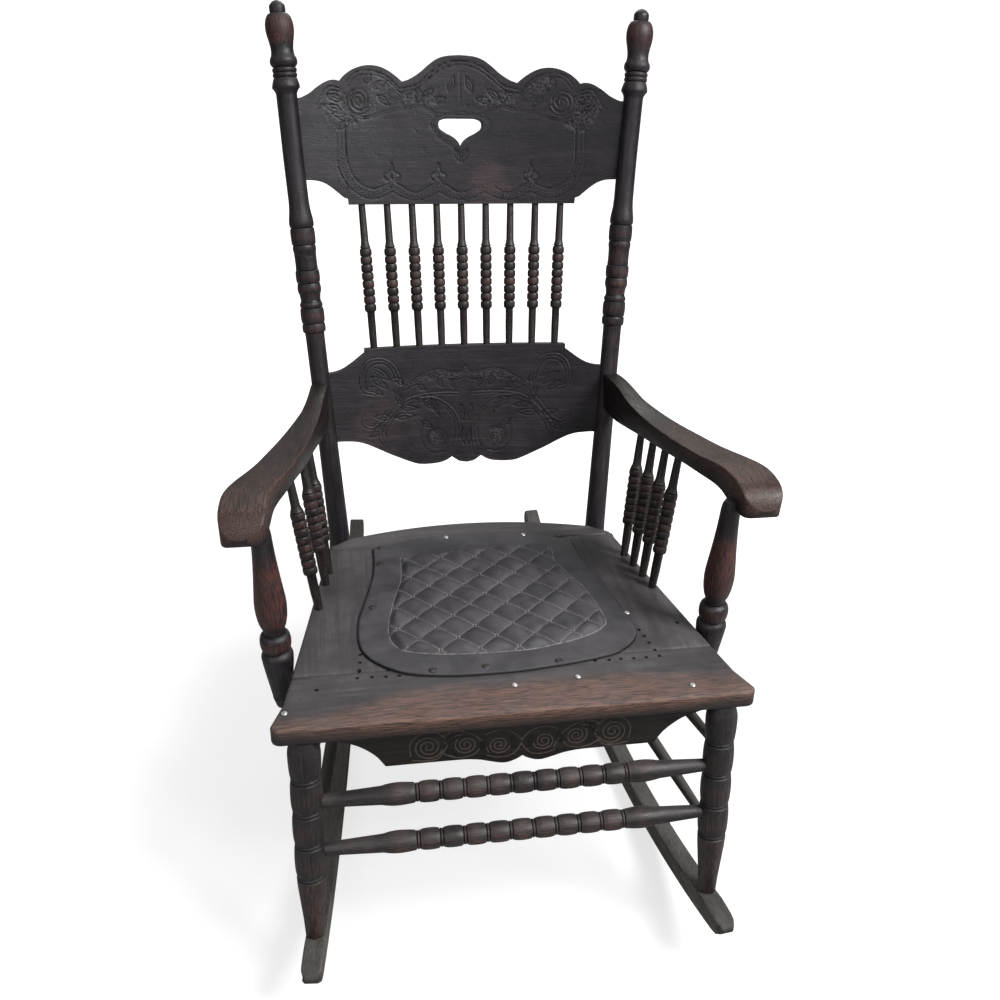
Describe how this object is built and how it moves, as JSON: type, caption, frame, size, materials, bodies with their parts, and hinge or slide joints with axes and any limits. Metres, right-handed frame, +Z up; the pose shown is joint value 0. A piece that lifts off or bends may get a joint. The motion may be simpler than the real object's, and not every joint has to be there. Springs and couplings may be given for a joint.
{
  "type": "rocking chair",
  "caption": "Pressed-back wooden arm rocking chair with turned posts, beaded spindles, a quilted seat panel and two bow runners.",
  "frame": {"origin": "middle of the chair's footprint box, on the floor that the runners rest on", "axes": "+Z up, +X to the right as seen from in front, +Y towards the back; the sitter faces -Y"},
  "size_m": [0.625, 0.862, 1.0006],
  "materials": {
    "back_wood": "dark stain with worn edges, nearly matt",
    "post_wood": "dark stain with reddish worn bands",
    "arm_wood": "brown stain, worn and slightly polished",
    "seat_wood": "dusty, weathered, matt",
    "seat_front_wood": "worn to the grain, matt",
    "leg_wood": "dark stain with worn bands",
    "runner_wood": "weathered grey-green stain, matt",
    "panel_leather": "old pressed leather board, matt, with pale stitching",
    "tack_metal": "dull domed heads"
  },
  "bodies": {
    "root": {"crest_rail": "back_wood", "lower_back_rail": "back_wood", "back_spindle_1": "post_wood", "back_spindle_2": "post_wood", "back_spindle_3": "post_wood", "back_spindle_4": "post_wood", "back_spindle_5": "post_wood", "back_spindle_6": "post_wood", "back_spindle_7": "post_wood", "back_spindle_8": "post_wood", "back_spindle_9": "post_wood", "back_post_right": "post_wood", "back_post_left": "post_wood", "arm_right": "arm_wood", "arm_left": "arm_wood", "arm_support_right": "post_wood", "arm_support_left": "post_wood", "arm_spindle_right_1": "post_wood", "arm_spindle_right_2": "post_wood", "arm_spindle_right_3": "post_wood", "arm_spindle_right_4": "post_wood", "arm_spindle_left_1": "post_wood", "arm_spindle_left_3": "post_wood", "arm_spindle_left_4": "post_wood", "seat_front_rail": "seat_front_wood", "seat_back_rail": "seat_wood", "seat_side_rail_right": "seat_wood", "seat_side_rail_left": "seat_wood", "seat_panel": "panel_leather", "panel_tack_1": "tack_metal", "panel_tack_2": "tack_metal", "panel_tack_3": "tack_metal", "panel_tack_4": "tack_metal", "panel_tack_5": "tack_metal", "panel_tack_6": "tack_metal", "panel_tack_7": "tack_metal", "panel_tack_8": "tack_metal", "panel_tack_9": "tack_metal", "panel_tack_10": "tack_metal", "seat_nail_1": "tack_metal", "seat_nail_2": "tack_metal", "seat_nail_3": "tack_metal", "seat_nail_4": "tack_metal", "apron": "back_wood", "front_leg_right": "leg_wood", "front_leg_left": "leg_wood", "runner_right": "runner_wood", "runner_left": "runner_wood", "front_stretcher_upper": "leg_wood", "front_stretcher_lower": "leg_wood", "side_stretcher_upper_right": "leg_wood", "side_stretcher_upper_left": "leg_wood", "side_stretcher_lower_right": "leg_wood", "side_stretcher_lower_left": "leg_wood", "rear_stretcher": "leg_wood"}
  },
  "joints": []
}
